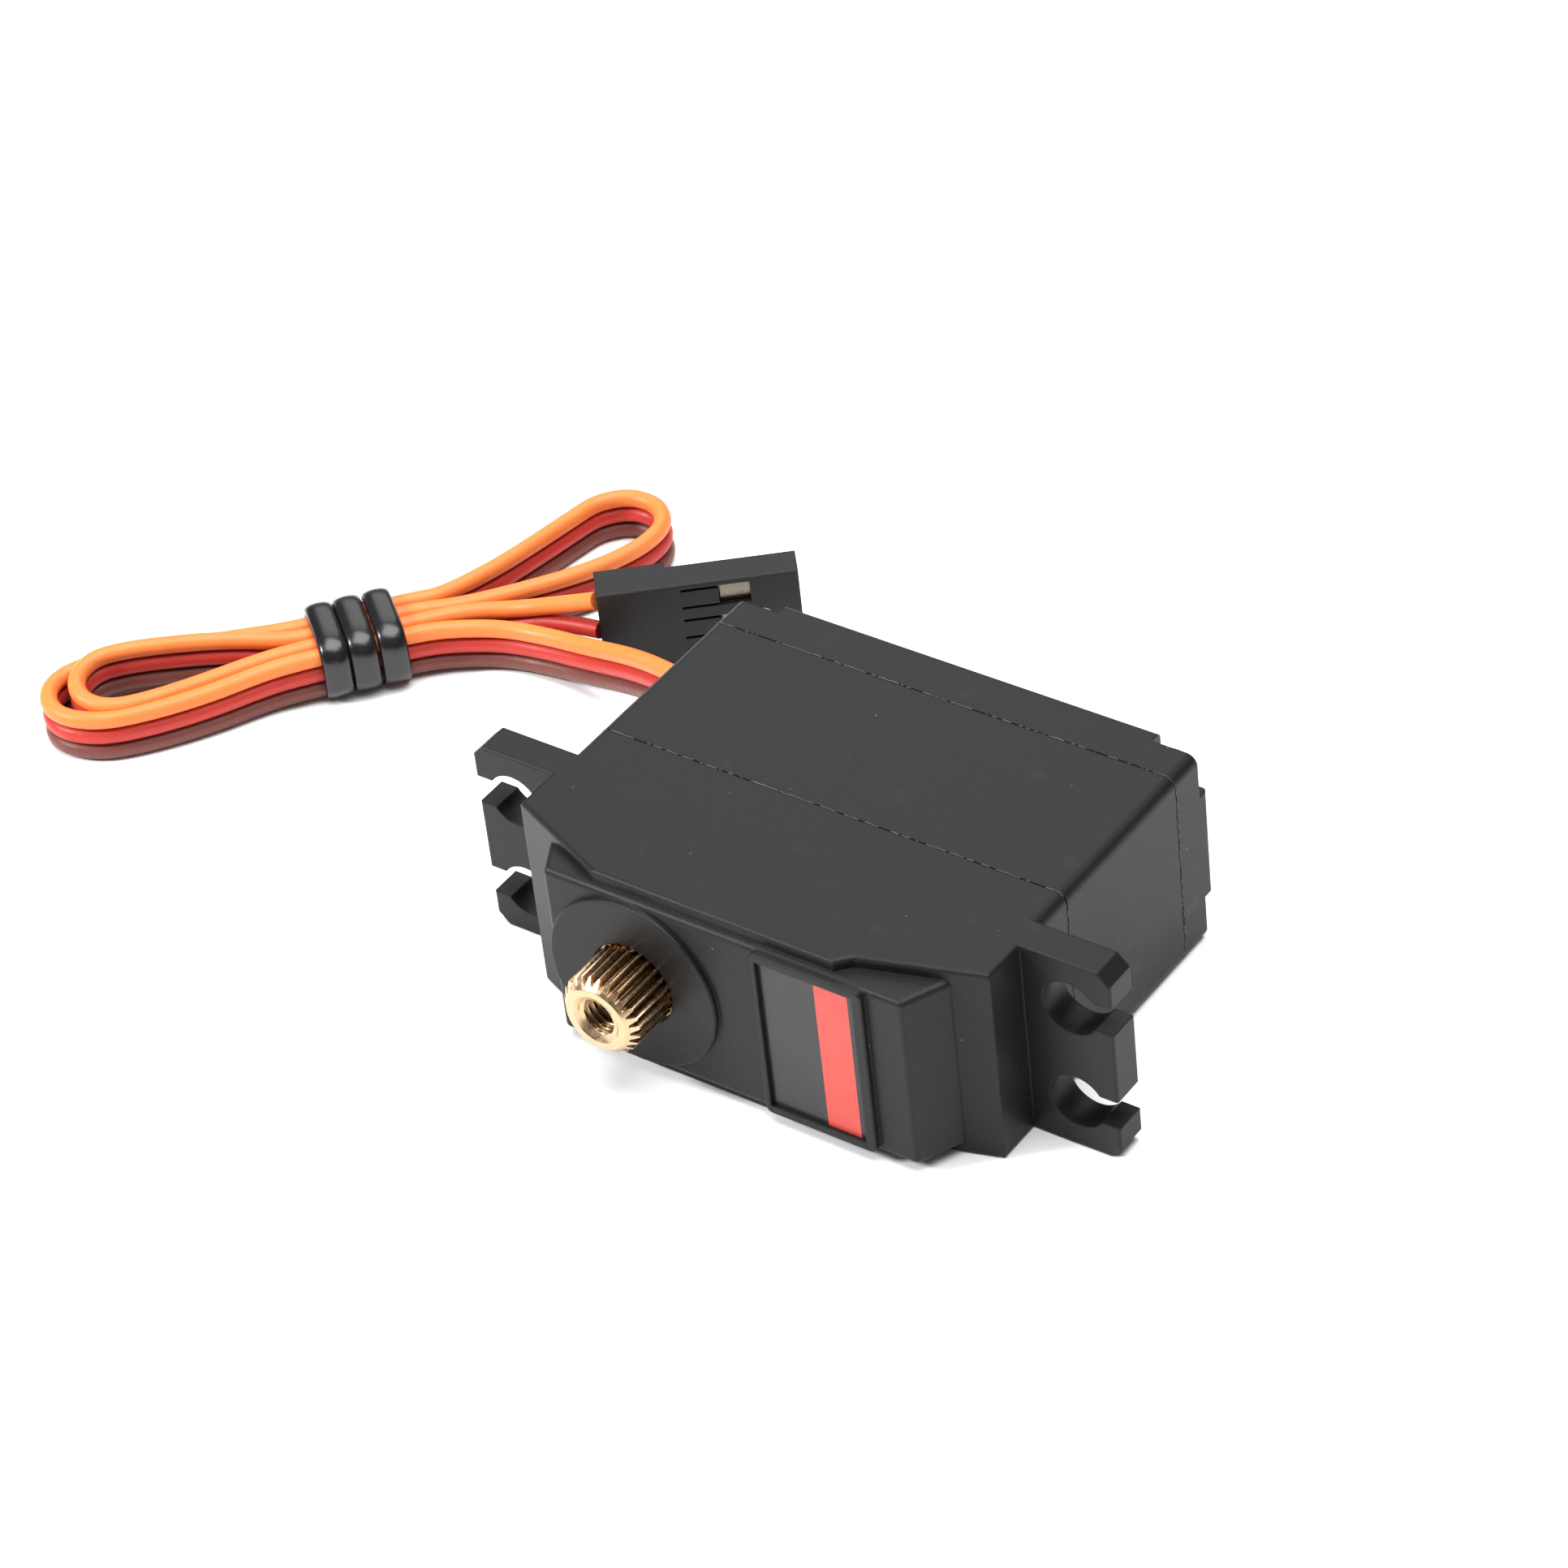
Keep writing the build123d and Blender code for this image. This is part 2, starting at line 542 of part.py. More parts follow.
def circuit_board():
    board = block(-16.2, 16.2, BOARD_FRONT_Y, BOARD_BACK_Y, 1.3, CASE_THICK - 1.3)
    for x, z in corners(SCREW_X, SCREW_RISE):
        board -= rod(x, z, POST_R + 0.15, 10, 14)
    board -= block(-17, -15.2, 10, 14, MID_Z - 2.7, MID_Z + 2.7)
    for step in (-2.5, 0, 2.5):
        board -= rod(OUTPUT_X + step, MID_Z - 3.2, 0.4, 10, 14)
    for rise in (-3, 3):
        board -= block(MOTOR_X - 0.6, MOTOR_X + 0.6, 10, 14, MID_Z + rise - 0.3, MID_Z + rise + 0.3)
    return board


def controller_chip():
    """Flat square package with a small corner mark."""
    chip = block(-3.4, 1.6, BOARD_BACK_Y, BOARD_BACK_Y + 0.9, MID_Z - 2.5, MID_Z + 2.5)
    chip = chamfer(chip.faces().sort_by(Axis.Y)[-1].edges(), 0.12)
    return chip - rod(-2.8, MID_Z + 1.9, 0.25, BOARD_BACK_Y + 0.8, BOARD_BACK_Y + 2)


def driver_chips():
    """Four small power transistors."""
    places = [(3.6, MID_Z - 4.2), (3.6, MID_Z + 4.2), (11.6, MID_Z - 4.2), (11.6, MID_Z + 4.2)]
    return Compound(
        children=[block(x - 1.45, x + 1.45, BOARD_BACK_Y, BOARD_BACK_Y + 1.1, z - 0.8, z + 0.8) for x, z in places]
    )


def board_capacitors():
    """Two block capacitors."""
    places = [(4.3, MID_Z), (12.2, MID_Z)]
    return Compound(
        children=[block(x - 1.75, x + 1.75, BOARD_BACK_Y, BOARD_BACK_Y + 1.9, z - 1.4, z + 1.4) for x, z in places]
    )


def wire_rises():
    """Height of the ground, power and signal wires from the middle one."""
    return {"ground": -WIRE_D, "power": 0.0, "signal": WIRE_D}


def solder_joints():
    joints = [rod(-13.9, MID_Z + rise, 0.5, BOARD_BACK_Y, 13.3) for rise in wire_rises().values()]
    return Compound(children=joints)


def wire_grommet():
    """Rubber block in the wall, with a lip outside and three wire holes."""
    core = block(-HALF_X - 0.3, -HALF_X + 1.9, WIRE_EXIT_Y - 1.13, WIRE_EXIT_Y + 1.13, MID_Z - 2.43, MID_Z + 2.43)
    lip = block(-HALF_X - 0.9, -HALF_X, WIRE_EXIT_Y - 1.5, WIRE_EXIT_Y + 1.5, MID_Z - 2.8, MID_Z + 2.8)
    lip = fillet(lip.edges().filter_by(lambda e: e.center().X < -HALF_X - 0.1), 0.35)
    grommet = core + lip
    for rise in wire_rises().values():
        plane = Plane(origin=(-HALF_X - 2, WIRE_EXIT_Y, MID_Z + rise), z_dir=(1, 0, 0))
        grommet -= extrude(plane * Circle(WIRE_TUBE_R + 0.08), 6)
    return grommet


# ---------------------------------------------------------------- lead

# The flat lead stands on its edge.  These are places of its middle wire on the way from the
# board to the hank, and from the hank to the connector.
EXIT_ROUTE = [
    (-14.5, 12.9, 7.5), (-19.8, 12.9, 7.5), (-24.0, 14.6, 6.4), (-28.2, 16.5, 4.6), (-32.6, 17.5, 3.1),
    (-36.9, 17.9, 2.3), (-40.3, 17.4, 2.1), (-43.0, 15.9, 2.15),
]
HANK_MIDDLE = (-49.2, 12.05)
HANK_TURN = 50.3           # degrees from X to the run of the hank through its tie
HANK_Z = 2.3               # height of the middle wire inside the tie
TIE_LENGTH = 6.1
PASSES = 4                 # times that the flat lead goes through the tie
WIRE_END_GAP = 0.12        # the cut ends of the tubes stand this far off the hank

CONNECTOR_BACK = (-33.7, 20.07)
CONNECTOR_TURN = 40.0
CONNECTOR_HEIGHT = 7.6
CONTACT_PITCH = 2.54


def hank_point(along, across):
    """A place in plan, from the middle of the tie, along the hank and to its far side."""
    turn = math.radians(HANK_TURN)
    x = HANK_MIDDLE[0] + along * math.cos(turn) - across * math.sin(turn)
    y = HANK_MIDDLE[1] + along * math.sin(turn) + across * math.cos(turn)
    return x, y


def wire_tube(points):
    """A round wire of straight runs joined by the largest tangent arcs."""
    radii = []
    for before, here, after in zip(points, points[1:], points[2:]):
        into, out = Vector(*here) - Vector(*before), Vector(*after) - Vector(*here)
        half_turn = math.radians(into.get_angle(out)) / 2
        radii.append(0.45 * min(into.length, out.length) / math.tan(half_turn))
    print("  wire bend radii", [round(radius, 1) for radius in radii])
    path = FilletPolyline(*points, radius=radii)
    start = Plane(origin=path @ 0, z_dir=path % 0)
    wire = sweep(start * Circle(WIRE_TUBE_R), path=path)
    print("  tube volume over section times length", round(wire.volume / (math.pi * WIRE_TUBE_R**2 * path.length), 3))
    print("  length", round(path.length, 1))
    return wire


def wire_run(rise):
    """One wire from the board to the hank."""
    end = (*hank_point(TIE_LENGTH / 2 + WIRE_END_GAP, -1.5 * WIRE_D), HANK_Z)
    return wire_tube([(x, y, z + rise) for x, y, z in [*EXIT_ROUTE, end]])


def wire_tail(rise, contact_z):
    """One wire from the hank to the connector, where the three spread to the contact pitch."""
    start = hank_point(TIE_LENGTH / 2 + WIRE_END_GAP, -WIRE_D / 2)
    x, y = CONNECTOR_BACK
    points = [
        (*start, HANK_Z + rise),
        (-43.5, 17.9, 2.15 + rise),
        (-40.6, 19.6, 2.2 + rise),
        (-37.3, 20.0, 2.8 + (contact_z - 2.8) * 0.55),
        (x, y, contact_z),
    ]
    return wire_tube(points)


def cable_hank():
    """Outer shape of the folded lead: two nested loops, the tied waist and one wider loop."""
    low, high = HANK_Z - 1.5 * WIRE_D, HANK_Z + 1.5 * WIRE_D
    half = PASSES * WIRE_D / 2
    end = TIE_LENGTH / 2
    waist = plan_prism([hank_point(*p) for p in ((-end, -half), (end, -half), (end, half), (-end, half))], low, high)
    left_loop = [
        hank_point(-end, -half), (-52.6, 3.2), (-55.6, -2.3), (-59.3, -5.7), (-62.9, -6.2), (-65.2, -3.9),
        (-64.9, -0.6), (-62.0, 4.1), (-57.4, 8.2), hank_point(-end, half),
    ]
    right_loop = [
        hank_point(end, 0.2), (-43.9, 18.7), (-40.9, 21.6), (-38.2, 25.0), (-36.3, 28.9), (-36.2, 32.9),
        (-38.5, 35.6), (-41.7, 36.1), (-44.6, 33.6), (-46.1, 28.9), (-47.4, 22.5), hank_point(end, half),
    ]
    loops = []
    for outline, floor in ((left_loop, 0.05), (right_loop, 0.05)):
        edge = Spline(*outline) + Line(outline[-1], outline[0])
        loops.append(Pos(0, 0, floor) * extrude(make_face(edge), high - floor - 0.1))
    return joined([waist, *loops])


def cable_tie():
    """Three wraps of a black band round the waist of the hank."""
    half_y = PASSES * WIRE_D / 2
    low, high = HANK_Z - 1.5 * WIRE_D, HANK_Z + 1.5 * WIRE_D
    wall, under = 0.9, 0.3
    wrap = TIE_LENGTH / 3
    x, y = HANK_MIDDLE
    place = Pos(x, y, 0) * Rot(0, 0, HANK_TURN)
    band = None
    for n in range(3):
        along = (n - 1) * wrap
        ring = block(along - wrap / 2, along + wrap / 2, -half_y - wall, half_y + wall, low - under, high + wall)
        long_edges = ring.edges().filter_by(Axis.X).filter_by(lambda e: e.center().Z > low)
        ring = fillet(long_edges, 0.85)
        band = ring if band is None else band + ring
    band -= block(-TIE_LENGTH, TIE_LENGTH, -half_y, half_y, low, high)
    return place * band


def connector_housing():
    """Black three-way socket housing with a thicker back, and a latch tongue and window for each contact."""
    thick, back_thick, length, back_length = 2.46, 3.0, 14.0, 4.9
    body = block(0, length, -thick / 2, thick / 2, 0, CONNECTOR_HEIGHT)
    back = block(0, back_length, -thick / 2, thick / 2 + back_thick - thick, 0, CONNECTOR_HEIGHT)
    body = chamfer(body.edges().filter_by(Axis.X), 0.12) + chamfer(back.edges().filter_by(Axis.X), 0.12)
    for z in contact_heights():
        body -= block(2.0, length + 1, -0.75, 0.75, z - 0.95, z + 0.95)
        body -= block(-1, 2.1, -0.72, 0.72, z - 0.72, z + 0.72)
        body -= block(8.4, 10.6, -thick, -0.5, z - 0.85, z + 0.85)
        body -= block(5.8, 8.5, -thick, -0.5, z + 0.62, z + 0.85)
        body -= block(5.8, 8.5, -thick, -0.5, z - 0.85, z - 0.62)
    return connector_place() * body


def contact_heights():
    middle = CONNECTOR_HEIGHT / 2
    return [middle - CONTACT_PITCH, middle, middle + CONTACT_PITCH]


def connector_place():
    return Pos(*CONNECTOR_BACK, 0) * Rot(0, 0, CONNECTOR_TURN)


def connector_contacts():
    """Three folded metal contacts with a latch tang each."""
    contacts = []
    for z in contact_heights():
        shell = block(8.5, 13.2, -0.7, 0.7, z - 0.85, z + 0.85) - block(10.7, 14, -0.5, 0.5, z - 0.65, z + 0.65)
        shell += block(2.3, 8.6, -0.2, 0.05, z - 0.6, z + 0.6)
        tang = block(8.55, 9.55, -0.85, -0.6, z - 0.1, z + 0.75) + block(9.5, 10.5, -1.05, -0.6, z + 0.05, z + 0.75)
        contacts.append(connector_place() * (shell + tang))
    return Compound(children=contacts)


# ---------------------------------------------------------------- write every node

def main():
    save(top_case(), "top_case")
    save(middle_case(), "middle_case")
    save(bottom_cover(), "bottom_cover")
    save(front_label(), "front_label")
    save(case_screws(), "case_screws")
    save(wire_grommet(), "wire_grommet")

    for name, (wheel, pinion) in (("first", first_gear()), ("second", second_gear()), ("third", third_gear())):
        save(wheel, f"{name}_gear_wheel")
        save(pinion, f"{name}_gear_pinion")
    save(rod(PIN_X, MID_Z, PIN_R, -11.3, -1.2), "gear_pin")
    save(output_gear(), "output_gear")
    save(output_shaft(), "output_shaft")
    outer_ring, inner_ring = bearing_rings()
    save(outer_ring, "output_bearing_outer")
    save(inner_ring, "output_bearing_inner")
    save(bearing_balls(), "output_bearing_balls")
    save(bearing_cage(), "output_bearing_cage")

    for build in (
        motor_can, motor_magnet, motor_end_cap, motor_bushings, motor_terminals, motor_brushes,
        rotor_shaft, rotor_winding, rotor_commutator, motor_pinion,
        pot_housing, pot_base, pot_track, pot_terminals, pot_shaft, pot_wiper,
        circuit_board, controller_chip, driver_chips, board_capacitors, solder_joints,
        cable_hank, cable_tie, connector_housing, connector_contacts,
    ):
        save(build(), build.__name__)

    for (name, rise), contact_z in zip(wire_rises().items(), contact_heights()):
        print(name)
        save(wire_run(rise), f"{name}_wire_run")
        save(wire_tail(rise, contact_z), f"{name}_wire_tail")


main()
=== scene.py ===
"""Looks of a mini servo motor: black three-part case, splined brass output shaft, folded three-wire lead."""

import math

import bmesh
import bpy
from mathutils import Matrix, Vector, noise


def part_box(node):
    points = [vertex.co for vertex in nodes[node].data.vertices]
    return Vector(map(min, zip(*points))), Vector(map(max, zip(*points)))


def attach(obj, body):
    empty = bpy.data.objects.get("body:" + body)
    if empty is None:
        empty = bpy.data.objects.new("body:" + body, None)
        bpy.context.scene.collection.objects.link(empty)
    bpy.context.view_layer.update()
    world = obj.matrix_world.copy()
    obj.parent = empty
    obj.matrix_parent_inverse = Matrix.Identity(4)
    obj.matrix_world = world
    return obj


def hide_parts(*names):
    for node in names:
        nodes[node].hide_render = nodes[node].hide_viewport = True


MM = 0.001

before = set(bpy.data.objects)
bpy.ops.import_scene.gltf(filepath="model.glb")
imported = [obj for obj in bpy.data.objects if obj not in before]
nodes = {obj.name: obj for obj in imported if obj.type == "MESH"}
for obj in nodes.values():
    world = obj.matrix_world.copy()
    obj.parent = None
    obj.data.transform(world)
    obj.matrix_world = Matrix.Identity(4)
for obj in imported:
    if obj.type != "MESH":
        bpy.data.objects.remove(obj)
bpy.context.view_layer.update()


def mm(*places):
    """A point given in millimetres, in metres."""
    return Vector(places) * MM


# ---------------------------------------------------------------- camera, light and floor

CAMERA_ANGLES = (38.74, 38.44, -6.70)     # azimuth, elevation and roll, in degrees
CAMERA_AIM = (0, 0.275, 7.6)
CAMERA_SHIFT = (-3.42, 7.31, 362.4)       # from the aim, to the camera's own right, up and back
LENS, SENSOR = 130.43, 36

SURROUNDINGS = 0.16
SOFTBOXES = (
    # name, place in metres, width and height in metres, watts
    ("zenith_softbox", (0.06, 0.02, 0.60), 0.55, 0.55, 7.2),
    ("back_softbox", (-0.30, 0.40, 0.38), 0.36, 0.36, 0.8),
    ("left_softbox", (-0.36, -0.34, 0.36), 0.12, 0.12, 3.7),
    ("right_softbox", (0.48, -0.30, 0.22), 0.22, 0.30, 0.05),
)


def add_camera():
    """A long lens, from the front right and above."""
    azimuth, elevation, roll = (math.radians(angle) for angle in CAMERA_ANGLES)
    back = Vector((
        math.sin(azimuth) * math.cos(elevation), -math.cos(azimuth) * math.cos(elevation), math.sin(elevation),
    ))
    level = Vector((math.cos(azimuth), math.sin(azimuth), 0))
    right = math.cos(roll) * level + math.sin(roll) * back.cross(level)
    up = back.cross(right)
    to_right, to_top, to_back = CAMERA_SHIFT
    place = mm(*CAMERA_AIM) + (to_right * right + to_top * up + to_back * back) * MM
    data = bpy.data.cameras.new("camera")
    data.lens, data.sensor_width = LENS, SENSOR
    data.clip_start, data.clip_end = 0.01, 10
    camera = bpy.data.objects.new("camera", data)
    camera.matrix_world = Matrix.Translation(place) @ Matrix((right, up, back)).transposed().to_4x4()
    bpy.context.scene.collection.objects.link(camera)
    bpy.context.scene.camera = camera


def add_softbox(name, place, width, height, watts, target=(0, 0, 0.007)):
    data = bpy.data.lights.new(name, "AREA")
    data.shape = "RECTANGLE"
    data.size, data.size_y, data.energy = width, height, watts
    light = bpy.data.objects.new(name, data)
    light.location = place
    light.rotation_euler = (Vector(place) - Vector(target)).to_track_quat("Z", "Y").to_euler()
    bpy.context.scene.collection.objects.link(light)


def add_studio():
    """A white floor in dim surroundings, under one large softbox above and smaller ones round the part."""
    world = bpy.data.worlds.new("studio")
    world.use_nodes = True
    world.node_tree.nodes["Background"].inputs["Color"].default_value = (1, 1, 1, 1)
    world.node_tree.nodes["Background"].inputs["Strength"].default_value = SURROUNDINGS
    bpy.context.scene.world = world
    bpy.context.scene.view_settings.view_transform = "Standard"

    for softbox in SOFTBOXES:
        add_softbox(*softbox)

    bpy.ops.mesh.primitive_plane_add(size=4, location=(0, 0, 0))
    floor = bpy.context.object
    floor.name = "floor"
    floor.data.materials.append(plain_paper())


# ---------------------------------------------------------------- materials

class Look:
    """A node material around one Principled shader, textured in the object's own metres."""

    def __init__(self, name, **sockets):
        self.material = bpy.data.materials.new(name)
        self.material.use_nodes = True
        self.tree = self.material.node_tree
        self.shader = self.tree.nodes["Principled BSDF"]
        self.place = self.tree.nodes.new("ShaderNodeTexCoord").outputs["Object"]
        for socket, value in sockets.items():
            self.shader.inputs[socket.replace("_", " ")].default_value = value

    def node(self, kind, inputs=None, **settings):
        made = self.tree.nodes.new(kind)
        for key, value in settings.items():
            setattr(made, key, value)
        for key, value in (inputs or {}).items():
            if isinstance(value, bpy.types.NodeSocket):
                self.tree.links.new(value, made.inputs[key])
            else:
                made.inputs[key].default_value = value
        return made

    def wire(self, source, socket):
        self.tree.links.new(source, self.shader.inputs[socket])

    def stretched(self, scale):
        return self.node("ShaderNodeMapping", {"Vector": self.place, "Scale": scale}).outputs["Vector"]

    def noise(self, size_mm, detail=2.0, stretch=(1, 1, 1)):
        """Cloudy pattern, from 0 to 1, with features of about size_mm."""
        where = self.stretched(stretch)
        inputs = {"Vector": where, "Scale": 1 / (size_mm * MM), "Detail": detail}
        return self.node("ShaderNodeTexNoise", inputs).outputs["Fac"]

    def maths(self, operation, first, second=0.5, third=0.5):
        made = self.node("ShaderNodeMath", operation=operation)
        for socket, value in zip(made.inputs, (first, second, third)):
            if isinstance(value, bpy.types.NodeSocket):
                self.tree.links.new(value, socket)
            else:
                socket.default_value = value
        return made.outputs[0]

    def ramp(self, value, low, high, start=0.0, end=1.0):
        """A number that goes from start to end as value goes from low to high."""
        inputs = {"Value": value, "From Min": low, "From Max": high, "To Min": start, "To Max": end}
        return self.node("ShaderNodeMapRange", inputs).outputs["Result"]

    def blend(self, share, first, second):
        """A colour between two colours."""
        mix = self.node("ShaderNodeMix", data_type="RGBA")
        sockets = {"Factor_Float": share, "A_Color": first, "B_Color": second}
        for socket in mix.inputs:
            value = sockets.get(socket.identifier)
            if isinstance(value, bpy.types.NodeSocket):
                self.tree.links.new(value, socket)
            elif value is not None:
                socket.default_value = (*value, 1) if isinstance(value, tuple) else value
        return next(out for out in mix.outputs if out.identifier == "Result_Color")

    def bump(self, height, depth_mm, strength=1.0, **more):
        inputs = {"Height": height, "Distance": depth_mm * MM, "Strength": strength, **more}
        bump = self.node("ShaderNodeBump", inputs)
        self.wire(bump.outputs["Normal"], "Normal")

    def axis(self, letter):
        return self.node("ShaderNodeSeparateXYZ", {"Vector": self.place}).outputs[letter]


def plain_paper():
    look = Look("studio_paper", Roughness=0.9)
    look.wire(look.blend(look.noise(60), (0.93, 0.93, 0.93), (0.96, 0.96, 0.96)), "Base Color")
    return look.material


def moulded_plastic(name, dark, light, roughness, grain_mm=0.22, depth_mm=0.012, shine=0.5, dust=0.0,
                    edge_mm=0.0):
    """Matt grained moulding with faint clouds and rubbed spots, and if asked specks of dust and softened edges."""
    look = Look(name, Specular_IOR_Level=shine)
    clouds = look.noise(9, 4)
    rubbed = look.ramp(look.noise(2.2, 6), 0.62, 0.78)
    body = look.blend(look.maths("MULTIPLY_ADD", rubbed, 0.5, clouds), dark, light)
    if dust:
        speck = look.ramp(look.noise(0.55, 1), 0.80, 0.86, 0, dust)
        body = look.blend(speck, body, (0.32, 0.31, 0.29))
    look.wire(body, "Base Color")
    cloudy = look.ramp(clouds, 0.3, 0.7, roughness, roughness + 0.06)
    look.wire(look.maths("MULTIPLY_ADD", rubbed, -0.06, cloudy), "Roughness")
    soft_edges = {}
    if edge_mm:
        soft_edges["Normal"] = look.node("ShaderNodeBevel", {"Radius": edge_mm * MM}).outputs[0]
    look.bump(look.noise(grain_mm, 3), depth_mm, **soft_edges)
    return look.material


CORAL_LEFT, CORAL_RIGHT = 7.4, 9.9        # edges of the coral band on the label


def label_film():
    """Dark satin film, faintly streaked and rippled, with one coral band."""
    look = Look("label_film", Specular_IOR_Level=0.3, Coat_Weight=0.12, Coat_Roughness=0.15)
    x = look.axis("X")
    band = look.maths("MULTIPLY", look.maths("GREATER_THAN", x, CORAL_LEFT * MM),
                      look.maths("LESS_THAN", x, CORAL_RIGHT * MM))
    dark = look.blend(look.noise(1.5, 3, (1, 1, 0.1)), (0.009, 0.0092, 0.0097), (0.016, 0.0162, 0.017))
    coral = look.blend(look.noise(0.8, 3), (0.50, 0.042, 0.031), (0.58, 0.066, 0.048))
    look.wire(look.blend(band, dark, coral), "Base Color")
    look.wire(look.ramp(look.noise(3, 3), 0.3, 0.7, 0.24, 0.36), "Roughness")
    look.bump(look.noise(2.5, 2), 0.006, 0.5)
    return look.material


def metal(name, dark, light, roughness):
    look = Look(name, Metallic=1.0)
    look.wire(look.blend(look.noise(1.2, 4), dark, light), "Base Color")
    grain = look.noise(0.15, 3)
    look.wire(look.ramp(grain, 0.3, 0.7, roughness - 0.06, roughness + 0.08), "Roughness")
    look.bump(grain, 0.004)
    return look.material


def output_brass():
    """Brass, clean on the spline's crests, the flat tip and the thread's crests, with painted shade in the
    spline's valleys and down the screw hole.
    """
    look = Look("output_brass", Metallic=1.0)
    low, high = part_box("output_shaft")
    middle = (low + high) / 2
    dx = look.maths("SUBTRACT", look.axis("X"), middle.x)
    dz = look.maths("SUBTRACT", look.axis("Z"), middle.z)
    radius = look.maths("SQRT", look.maths("MULTIPLY_ADD", dx, dx, look.maths("MULTIPLY", dz, dz)))
    crest = look.ramp(radius, 2.5 * MM, 2.92 * MM)
    land = look.maths("LESS_THAN", look.axis("Y"), low.y + 0.7 * MM)
    thread = look.ramp(radius, 1.32 * MM, 1.2 * MM)
    bright = look.maths("MAXIMUM", look.maths("MAXIMUM", crest, land), thread)
    # Painted shade: darker brass for the spline's valleys and the thread's roots, wherever the crest, tip and
    # thread masks are low.
    painted_shade = look.blend(look.noise(0.5, 3), (0.17, 0.10, 0.05), (0.27, 0.165, 0.085))
    clean = look.blend(look.noise(0.7, 4), (0.50, 0.335, 0.195), (0.64, 0.45, 0.28))
    look.wire(look.blend(bright, painted_shade, clean), "Base Color")
    look.wire(look.ramp(look.noise(0.25, 4), 0.3, 0.7, 0.22, 0.38), "Roughness")
    look.bump(look.noise(0.12, 3, (1, 0.15, 1)), 0.003)
    return look.material


def insulation(name, dark, light):
    """Soft PVC with a faint sheen and long shallow ripples."""
    look = Look(
        name, Subsurface_Weight=0.08, Subsurface_Radius=(0.4 * MM, 0.2 * MM, 0.1 * MM), Subsurface_Scale=1.0,
        Specular_IOR_Level=0.33,
    )
    look.wire(look.blend(look.noise(2.5, 3), dark, light), "Base Color")
    look.wire(look.ramp(look.noise(0.6, 3), 0.3, 0.7, 0.38, 0.5), "Roughness")
    look.bump(look.noise(0.5, 2), 0.012)
    return look.material


def add_materials():
    """Every look that the pieces use, by name."""
    return {
        "case": moulded_plastic("case_moulding", (0.006, 0.0062, 0.0065), (0.011, 0.0113, 0.0117), 0.4,
                                shine=0.2, dust=0.6, edge_mm=0.18),
        "label": label_film(),
        "connector": moulded_plastic("connector_moulding", (0.006, 0.006, 0.0065), (0.010, 0.010, 0.0105), 0.44,
                                     0.12, shine=0.3, edge_mm=0.15),
        "grommet": moulded_plastic("grommet_rubber", (0.012, 0.012, 0.012), (0.02, 0.02, 0.02), 0.6, 0.1),
        # Painted shadow: a near-black line laid along each joint of the case.
        "seam": moulded_plastic("seam_shadow", (0.002, 0.002, 0.002), (0.004, 0.004, 0.004), 0.8, shine=0.05),
        # Painted highlight: the flash fins are the case's plastic, painted light grey as if catching the light.
        "flash": moulded_plastic("flash_painted_highlight", (0.05, 0.05, 0.05), (0.20, 0.18, 0.16), 0.5, 0.1),
        "tie": moulded_plastic("tie_rubber", (0.004, 0.004, 0.0045), (0.009, 0.009, 0.010), 0.24, 0.3, 0.008),
        "inner_plastic": moulded_plastic("inner_moulding", (0.02, 0.02, 0.02), (0.04, 0.04, 0.04), 0.5),
        "brown_plastic": moulded_plastic("brown_moulding", (0.12, 0.05, 0.02), (0.2, 0.09, 0.04), 0.45),
        "board": moulded_plastic("solder_resist", (0.01, 0.09, 0.03), (0.02, 0.14, 0.05), 0.3),
        "shaft": output_brass(),
        "brass": metal("gear_brass", (0.70, 0.48, 0.22), (0.85, 0.62, 0.33), 0.3),
        "steel": metal("bright_steel", (0.42, 0.42, 0.43), (0.62, 0.62, 0.62), 0.3),
        # Painted shade: the bearing rings' steel is painted near black for the shade in the narrow gap round the
        # shaft.
        "painted_shade_steel": metal("painted_shade_steel", (0.05, 0.05, 0.052), (0.09, 0.09, 0.092), 0.5),
        "contact": metal("tinned_contact", (0.17, 0.145, 0.11), (0.30, 0.27, 0.22), 0.32),
        "magnet": metal("plated_magnet", (0.2, 0.2, 0.21), (0.3, 0.3, 0.31), 0.45),
        "copper": metal("winding_copper", (0.60, 0.22, 0.10), (0.80, 0.36, 0.18), 0.35),
        "orange": insulation("orange_insulation", (0.73, 0.172, 0.034), (0.81, 0.212, 0.050)),
        "red": insulation("red_insulation", (0.40, 0.026, 0.018), (0.50, 0.038, 0.027)),
        "brown": insulation("brown_insulation", (0.125, 0.034, 0.026), (0.18, 0.053, 0.040)),
    }


